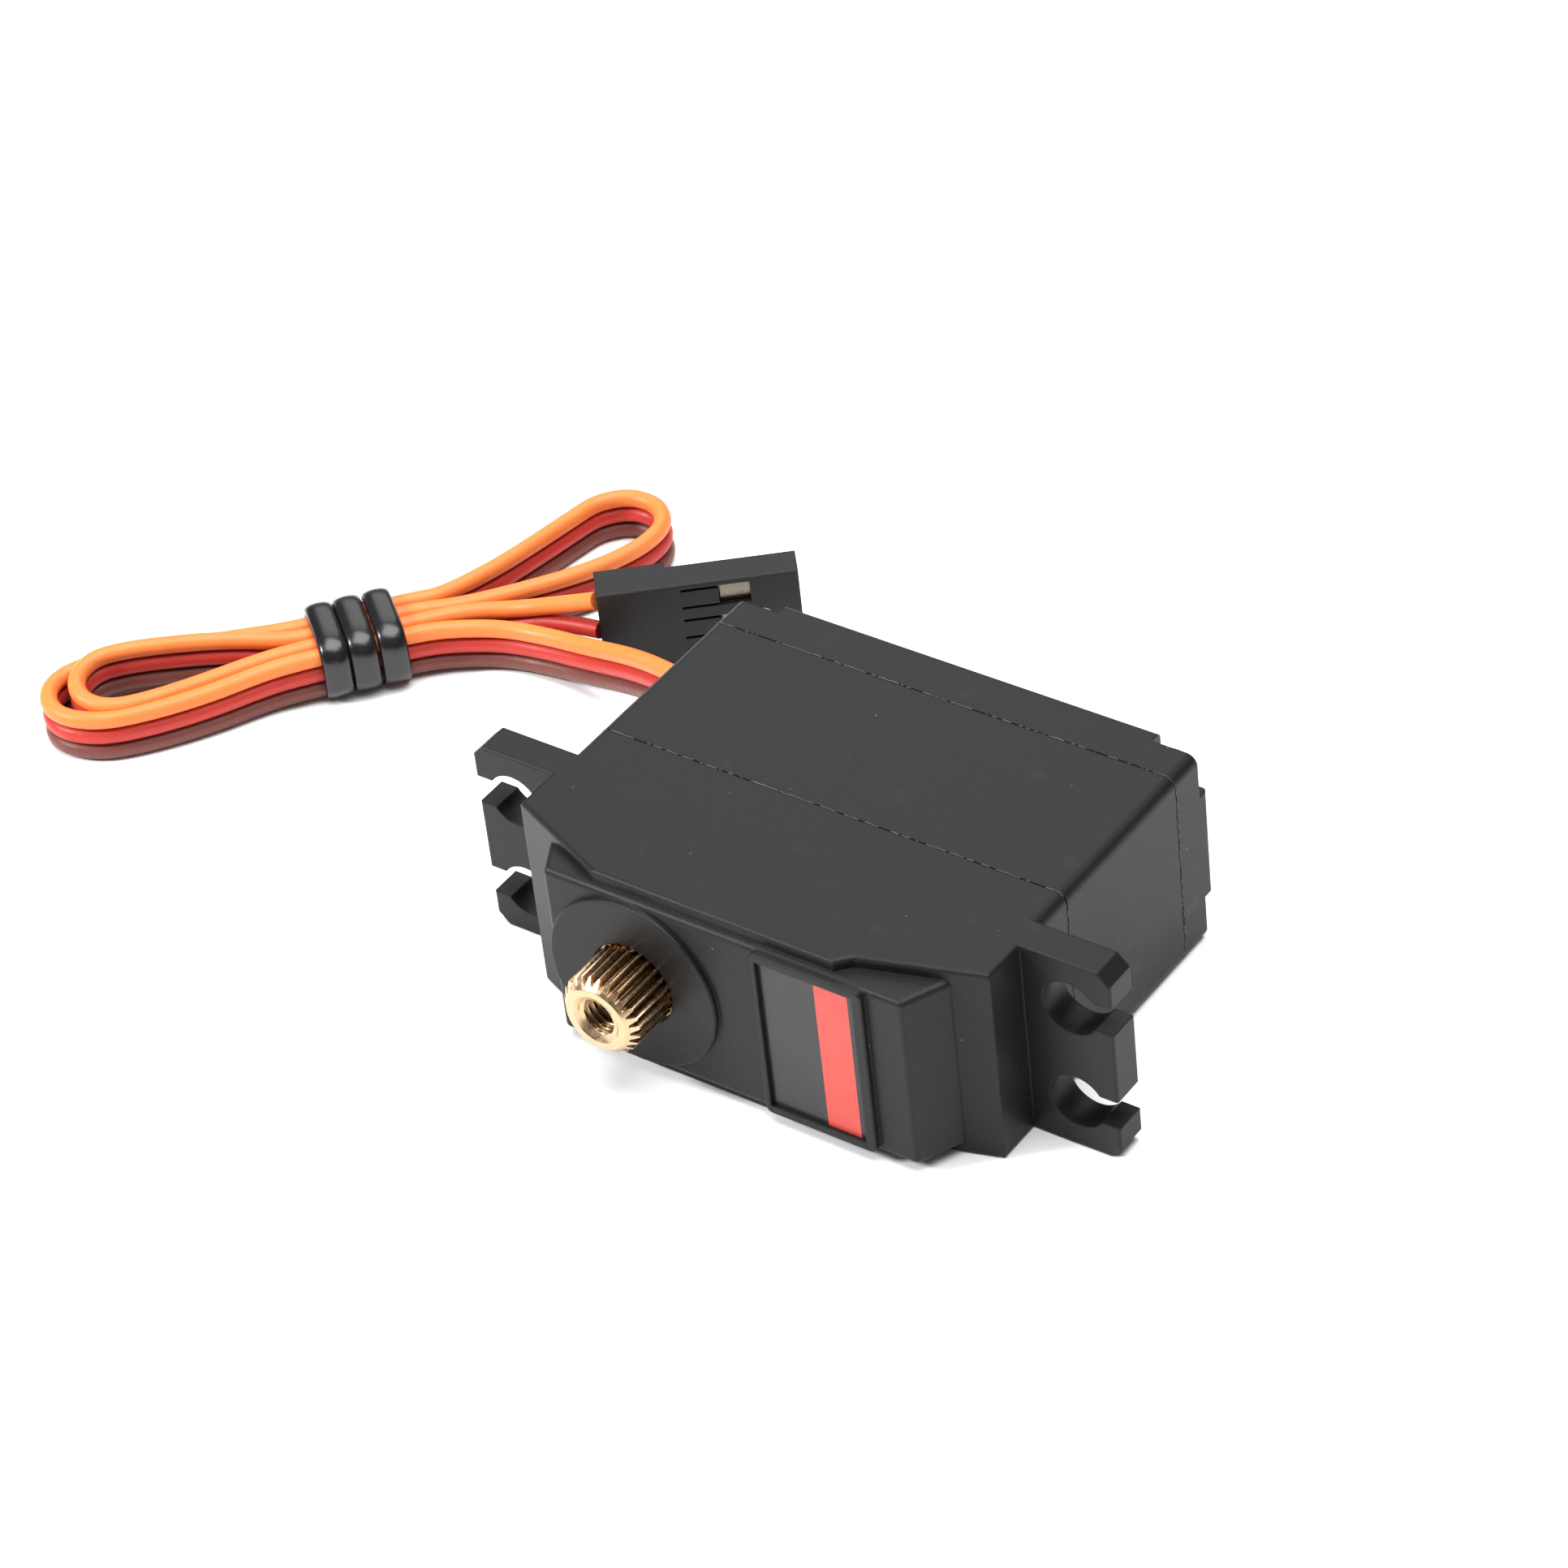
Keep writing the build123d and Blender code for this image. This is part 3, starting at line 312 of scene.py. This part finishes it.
NODE_LOOKS = {
    "case": ["top_case", "middle_case", "bottom_cover"],
    "label": ["front_label"],
    "grommet": ["wire_grommet"],
    "connector": ["connector_housing"],
    "contact": ["connector_contacts"],
    "tie": ["cable_tie"],
    "shaft": ["output_shaft"],
    "steel": [
        "case_screws", "gear_pin", "output_bearing_balls", "output_bearing_cage", "first_gear_pinion",
        "second_gear_pinion", "third_gear_pinion", "motor_can", "rotor_shaft", "pot_terminals", "pot_shaft",
        "solder_joints",
    ],
    # bearing rings: steel painted near black as shade
    "painted_shade_steel": ["output_bearing_outer", "output_bearing_inner"],
    "brass": [
        "output_gear", "first_gear_wheel", "second_gear_wheel", "third_gear_wheel", "motor_pinion",
        "motor_bushings", "motor_terminals", "motor_brushes", "pot_wiper",
    ],
    "magnet": ["motor_magnet"],
    "copper": ["rotor_winding", "rotor_commutator"],
    "inner_plastic": ["motor_end_cap", "pot_housing", "pot_track", "controller_chip", "driver_chips"],
    "brown_plastic": ["pot_base", "board_capacitors"],
    "board": ["circuit_board"],
    "orange": ["cable_hank", "signal_wire_run", "signal_wire_tail"],
    "red": ["power_wire_run", "power_wire_tail"],
    "brown": ["ground_wire_run", "ground_wire_tail"],
}


def dress_nodes(looks):
    """Gives each of the frame's meshes its look."""
    for look, names in NODE_LOOKS.items():
        for name in names:
            for slot in nodes[name].material_slots:
                slot.material = looks[look]


# ---------------------------------------------------------------- mesh helpers

def add_mesh(name, points, faces, material, smooth_angle):
    """A smooth-shaded piece, sharp only where its faces meet at more than smooth_angle degrees."""
    mesh = bpy.data.meshes.new(name)
    mesh.from_pydata([tuple(point) for point in points], [], faces)
    shell = bmesh.new()
    shell.from_mesh(mesh)
    bmesh.ops.recalc_face_normals(shell, faces=shell.faces)
    shell.to_mesh(mesh)
    shell.free()
    mesh.materials.append(material)
    piece = bpy.data.objects.new(name, mesh)
    bpy.context.scene.collection.objects.link(piece)
    mesh.shade_smooth()
    mesh.set_sharp_from_angle(angle=math.radians(smooth_angle))
    return piece


def skin(rings):
    """Points and faces of a tube with closed ends, through rings that all have the same number of points."""
    count = len(rings[0])
    points = [point for ring in rings for point in ring]
    faces = []
    for i in range(len(rings) - 1):
        for j in range(count):
            k = (j + 1) % count
            faces.append((i * count + j, i * count + k, (i + 1) * count + k, (i + 1) * count + j))
    faces.append(tuple(reversed(range(count))))
    faces.append(tuple(range((len(rings) - 1) * count, len(rings) * count)))
    return points, faces


def smooth_step(value):
    value = min(max(value, 0), 1)
    return value * value * (3 - 2 * value)


# ---------------------------------------------------------------- lead

WIRE_D = 1.26
WIRE_STEP = 1.3                 # between the middles of two neighbouring wires
HANK_MIDDLE = (-49.2, 12.05)
HANK_TURN = 50.3                # degrees from X to the run of the hank through its tie
HANK_Z = 2.3
PASS_ALONG = (-4.6, -1.5, 1.5, 4.6)     # control points of one pass through the tie
OUTER_PASS, INNER_PASS = 1.95, 0.65     # from the hank's middle line to its passes, on either side
CONTACT_Z = (1.26, 3.8, 6.34)   # of the brown, red and orange wires
FAN_Z, FAN_SHARE = 2.8, 0.55    # a wire's last bend is this share of the way from FAN_Z to its contact


def hank_point(along, across, z=HANK_Z):
    """A place from the middle of the tie, along the hank and towards its far side."""
    turn = math.radians(HANK_TURN)
    x = HANK_MIDDLE[0] + along * math.cos(turn) - across * math.sin(turn)
    y = HANK_MIDDLE[1] + along * math.sin(turn) + across * math.cos(turn)
    return x, y, z


def strand(across, towards):
    """One straight pass through the tie."""
    return [hank_point(towards * along, across) for along in PASS_ALONG]


def lead_route(rise, contact_z):
    """Control points of one wire, from the board through the folds of the hank to its contact."""
    run = [
        (-14.5, 12.9, 7.5), (-19.8, 12.9, 7.5), (-24.0, 14.6, 6.4), (-28.2, 16.5, 4.6), (-32.6, 17.5, 3.1),
        (-36.9, 17.9, 2.3), (-40.3, 17.4, 2.1), (-43.0, 15.9, 2.15),
    ]
    outer_loop = [hank_point(*place) for place in (
        (-6.9, -1.85, 2.1), (-11.3, -2.8, 2.05), (-15.8, -3.1, 2.0), (-19.2, -2.75, 2.0), (-21.6, -0.9, 2.0),
        (-21.8, 1.8, 2.0), (-20.2, 3.6, 2.0), (-17.2, 4.0, 2.0), (-13.1, 3.7, 2.0), (-8.5, 2.85, 2.1),
    )]
    right_loop = [
        (-46.4, 18.3, 2.2), (-45.0, 22.8, 2.1), (-44.2, 27.6, 2.0), (-43.7, 30.6, 2.0), (-43.3, 32.7, 2.0),
        (-41.6, 34.45, 2.0), (-39.1, 34.5, 2.0), (-37.35, 32.8, 2.0), (-37.2, 30.3, 2.0), (-38.1, 27.4, 2.0),
        (-39.7, 24.3, 2.1), (-42.0, 21.0, 2.2), (-44.4, 18.1, 2.2),
    ]
    inner_loop = [hank_point(*place) for place in (
        (-8.8, 1.65, 3.0), (-13.2, 2.6, 3.15), (-16.0, 3.05, 3.15), (-18.1, 3.1, 3.0), (-19.65, 1.55, 2.8),
        (-19.65, -0.7, 2.65), (-18.05, -2.25, 2.5), (-15.2, -2.3, 2.4), (-11.3, -1.6, 2.25), (-7.3, -0.75, 2.2),
    )]
    tail = [(-43.5, 17.9, 2.15), (-40.6, 19.6, 2.2)]
    middle = [
        *run, *strand(-OUTER_PASS, -1), *outer_loop, *strand(OUTER_PASS, 1), *right_loop,
        *strand(INNER_PASS, -1), *inner_loop, *strand(-INNER_PASS, 1), *tail,
    ]
    points = [(x, y, z + rise) for x, y, z in middle]
    points += [(-37.3, 20.0, FAN_Z + (contact_z - FAN_Z) * FAN_SHARE), (-33.7, 20.07, contact_z)]
    return points


def add_wire(name, rise, contact_z, material, stands_for):
    curve = bpy.data.curves.new(name, "CURVE")
    curve.dimensions = "3D"
    route = lead_route(rise, contact_z)
    spline = curve.splines.new("NURBS")
    spline.points.add(len(route) - 1)
    for point, place in zip(spline.points, route):
        point.co = (*mm(*place), 1)
    spline.order_u = 3
    spline.use_endpoint_u = True
    spline.resolution_u = 10
    curve.bevel_depth = WIRE_D / 2 * MM
    curve.bevel_resolution = 5
    curve.use_fill_caps = True
    curve.materials.append(material)
    wire = bpy.data.objects.new(name, curve)
    bpy.context.scene.collection.objects.link(wire)
    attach(wire, "case")
    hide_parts(*stands_for)
    return wire


def add_lead(looks, tie):
    """The three bonded wires, brown nearest the floor."""
    low_z, middle_z, high_z = CONTACT_Z
    brown = add_wire("ground_wire", -WIRE_STEP, low_z, looks["brown"], ["ground_wire_run", "ground_wire_tail"])
    red = add_wire("power_wire", 0, middle_z, looks["red"], ["power_wire_run", "power_wire_tail"])
    orange = add_wire("signal_wire", WIRE_STEP, high_z, looks["orange"],
                      ["signal_wire_run", "signal_wire_tail", "cable_hank"])


# ---------------------------------------------------------------- tie

# The band goes round the hank like a short coil.  A turn is counted in degrees: 0 on the hank's
# far side, 90 on top, 180 on its near side, 270 underneath.
TIE_START, TIE_END = -35, 720 + 216
TIE_STEPS, TIE_RING_POINTS = 330, 20
TIE_TIPS = (0.05, 0.6, 0.85)        # share of the full outline at the rings that round off an end
TIE_PLACES = (-2.02, 0.0, 2.1)      # of its three passes, along the hank
TIE_CROSSES = (205, 320)            # it moves to its next place in this part of a turn
TIE_HALF_WIDTH = 1.0
TIE_WALL, TIE_WALL_UNDER = 0.95, 0.3
STRANDS_HALF_WIDTH, STRANDS_HALF_HEIGHT = 2.62, 1.97
STRANDS_SQUARENESS = 0.42           # power of the sine and cosine: 1 is an ellipse, 0 a rectangle


def band_along(angle):
    """Where the band is along the hank."""
    place = TIE_PLACES[0]
    for turn, (before, after) in enumerate(zip(TIE_PLACES, TIE_PLACES[1:])):
        first, last = (360 * turn + limit for limit in TIE_CROSSES)
        place += (after - before) * smooth_step((angle - first) / (last - first))
    return place


def band_section(angle):
    """A place on the rounded outline of the strands: across them, and its height over their middle."""
    cosine, sine = math.cos(math.radians(angle)), math.sin(math.radians(angle))
    across = math.copysign(abs(cosine) ** STRANDS_SQUARENESS, cosine) * STRANDS_HALF_WIDTH
    rise = math.copysign(abs(sine) ** STRANDS_SQUARENESS, sine) * STRANDS_HALF_HEIGHT
    return Vector((across, rise))


def band_ring(angle, shrink):
    """Outline of the band at one angle of its coil."""
    place = band_section(angle)
    heading = (band_section(angle + 0.5) - band_section(angle - 0.5)).normalized()
    outward = Vector((heading.y, -heading.x))
    wall = TIE_WALL_UNDER + (TIE_WALL - TIE_WALL_UNDER) * smooth_step((place.y + STRANDS_HALF_HEIGHT) / 1.3)
    ring = []
    for step in range(TIE_RING_POINTS):
        turn = math.tau * step / TIE_RING_POINTS
        side = math.cos(turn) * TIE_HALF_WIDTH * shrink
        lift = wall * (0.5 + 0.5 * shrink * math.copysign(abs(math.sin(turn)) ** 0.7, math.sin(turn)))
        across, rise = place + outward * lift
        ring.append(mm(*hank_point(band_along(angle) + side, across, HANK_Z + rise)))
    return ring


def add_tie(material):
    """Band wound three times round the hank."""
    rings = [band_ring(TIE_START, shrink) for shrink in TIE_TIPS]
    for step in range(TIE_STEPS + 1):
        rings.append(band_ring(TIE_START + (TIE_END - TIE_START) * step / TIE_STEPS, 1))
    rings += [band_ring(TIE_END, shrink) for shrink in reversed(TIE_TIPS)]
    tie = add_mesh("wound_tie", *skin(rings), material, 60)
    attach(tie, "case")
    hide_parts("cable_tie")
    return tie


# ---------------------------------------------------------------- output shaft

TEETH = 25
TOOTH_POINTS = 16               # of the mesh, round one tooth
TOOTH_TIP_R, TOOTH_ROOT_R = 2.95, 2.48
THREAD_PITCH, THREAD_INNER_R, THREAD_OUTER_R = 0.5, 1.25, 1.5
THREAD_DEPTH, THREAD_STEPS = 4.6, 88
LAND_R = 2.3                    # outside radius of the flat tip
BEVEL_LENGTH = 0.72             # of the cone that cuts the teeth's ends
BEVEL_STEPS = 14
ALMOST_ZERO = 0.01              # radius of the smallest rings, which close the mesh on its axis

# Plain rings of the shaft, as depth below its tip and radius: from the hole's mouth to the flat
# tip, and from behind the teeth, past the collar, to the hollow at the inner end.
COUNTERSINK = ((0.2, 1.53), (0.03, 1.74), (0, 1.79), (0, LAND_R - 0.04))
INNER_PART = (
    (4.28, 2.4), (4.4, 2.4), (4.4, 3.0), (6.875, 3.0), (6.875, 3.5), (7.125, 3.5), (7.125, 3.0),
    (9.125, 3.0), (9.125, 1.0), (5.425, 1.0), (5.425, ALMOST_ZERO),
)


def tooth_radius(turn):
    """Radius of the spline at a share of a full turn: narrow crests between rounded V valleys."""
    share = abs((turn * TEETH) % 1 - 0.5) * 2
    return TOOTH_ROOT_R + (TOOTH_TIP_R - TOOTH_ROOT_R) * smooth_step((share - 0.16) / 0.76)


def thread_radius(turn, depth):
    """Radius of the hole at a depth below the tip, along a right-hand thread."""
    share = abs((depth / THREAD_PITCH + turn) % 1 - 0.5) * 2
    cut = min(max((share - 0.12) / 0.76, 0), 1)
    fade = smooth_step((THREAD_DEPTH - depth) / 0.4)
    return THREAD_INNER_R + (THREAD_OUTER_R - THREAD_INNER_R) * cut * fade


def add_output_shaft(material):
    """The shaft from its blind screw hole, over the tip and the teeth, to its hollow inner end."""
    low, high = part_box("output_shaft")
    middle, tip = (low + high) / 2 / MM, low.y / MM
    around = TEETH * TOOTH_POINTS

    def plain(depth, radius):
        return depth, lambda turn: radius

    def threaded(depth):
        return depth, lambda turn: thread_radius(turn, depth)

    def bevelled(share):
        reach = LAND_R + (TOOTH_TIP_R - LAND_R) * share
        return 0.02 + (BEVEL_LENGTH - 0.02) * share, lambda turn: min(tooth_radius(turn), reach)

    stations = [
        plain(4.95, ALMOST_ZERO), plain(4.7, THREAD_INNER_R),
        *(threaded(THREAD_DEPTH - 0.05 * step) for step in range(THREAD_STEPS)),
        *(plain(*ring) for ring in COUNTERSINK),
        *(bevelled(step / (BEVEL_STEPS - 1)) for step in range(BEVEL_STEPS)),
        (4.25, tooth_radius), (4.28, lambda turn: tooth_radius(turn) - 0.03),
        *(plain(*ring) for ring in INNER_PART),
    ]
    rings = []
    for depth, radius_at in stations:
        ring = []
        for step in range(around):
            turn = step / around
            radius, angle = radius_at(turn), math.tau * turn
            ring.append(mm(middle.x + radius * math.cos(angle), tip + depth, middle.z + radius * math.sin(angle)))
        rings.append(ring)
    shaft = add_mesh("splined_shaft", *skin(rings), material, 28)
    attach(shaft, "output")
    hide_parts("output_shaft")


# ---------------------------------------------------------------- moulding flash

SEAMS_Y = (0.275, 13.075)       # of the two joints between the case's three mouldings
SEAM_STEP = 0.12                # between neighbouring rings of the meshes along a joint
SEAM_SUNK = -0.05               # how far the meshes start below the case's surface
CASE_EDGE_R = 0.8
CORNER_STEPS, CORNER_DEGREES = 10, 9


def seam_path():
    """Places and outward directions along a joint: up the left side, over the top and down the right side."""
    low, high = (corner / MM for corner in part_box("middle_case"))
    bottom, left, right, top = CASE_EDGE_R, low.x + CASE_EDGE_R, high.x - CASE_EDGE_R, high.z - CASE_EDGE_R
    path = []

    def straight(x0, z0, x1, z1, out):
        length = math.hypot(x1 - x0, z1 - z0)
        count = int(length / SEAM_STEP)
        for step in range(count):
            share = step / count
            path.append((x0 + (x1 - x0) * share, z0 + (z1 - z0) * share, *out))

    def bend(x, z, first):
        for step in range(CORNER_STEPS):
            turn = math.radians(first - CORNER_DEGREES * step)
            out_x, out_z = math.cos(turn), math.sin(turn)
            path.append((x + CASE_EDGE_R * out_x, z + CASE_EDGE_R * out_z, out_x, out_z))

    straight(low.x, bottom, low.x, top, (-1, 0))
    bend(left, top, 180)
    straight(left, high.z, right, high.z, (0, 1))
    bend(right, top, 90)
    straight(high.x, top, high.x, bottom, (1, 0))
    return path


def flash_section(x, z, seam):
    """Outline of the ragged fin at one place."""
    here = Vector((x, seam * 7.3, z))
    height = 0.015 + 0.075 * (noise.noise(here * 1.9) + 0.6 * noise.noise(here * 5.3))
    half = 0.02 + 0.015 * abs(noise.noise(here * 3.1))
    return [(-half, SEAM_SUNK), (half, SEAM_SUNK), (half * 0.6, height), (-half * 0.6, height)]


def line_section(x, z, seam):
    """Outline of the line of painted shadow at one place."""
    here = Vector((x, seam * 3.7, z))
    half = 0.055 + 0.02 * noise.noise(here * 0.8)
    return [(-half, SEAM_SUNK), (half, SEAM_SUNK), (half, 0.004), (-half, 0.004)]


def add_seams(looks):
    """Each joint of the case: a thin line of painted shadow, and broken fins of flash, painted light grey as a
    highlight, standing on it.
    """
    path = seam_path()
    for number, seam in enumerate(SEAMS_Y, start=1):
        for name, section, look in (("seam_flash", flash_section, "flash"), ("seam_line", line_section, "seam")):
            rings = [
                [mm(x + out_x * lift, seam + side, z + out_z * lift) for side, lift in section(x, z, seam)]
                for x, z, out_x, out_z in path
            ]
            piece = add_mesh(f"{name}_{number}", *skin(rings), looks[look], 60)
            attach(piece, "case")


# ---------------------------------------------------------------- build

looks = add_materials()
add_camera()
add_studio()
dress_nodes(looks)
add_lead(looks, add_tie(looks["tie"]))
add_output_shaft(looks["shaft"])
add_seams(looks)
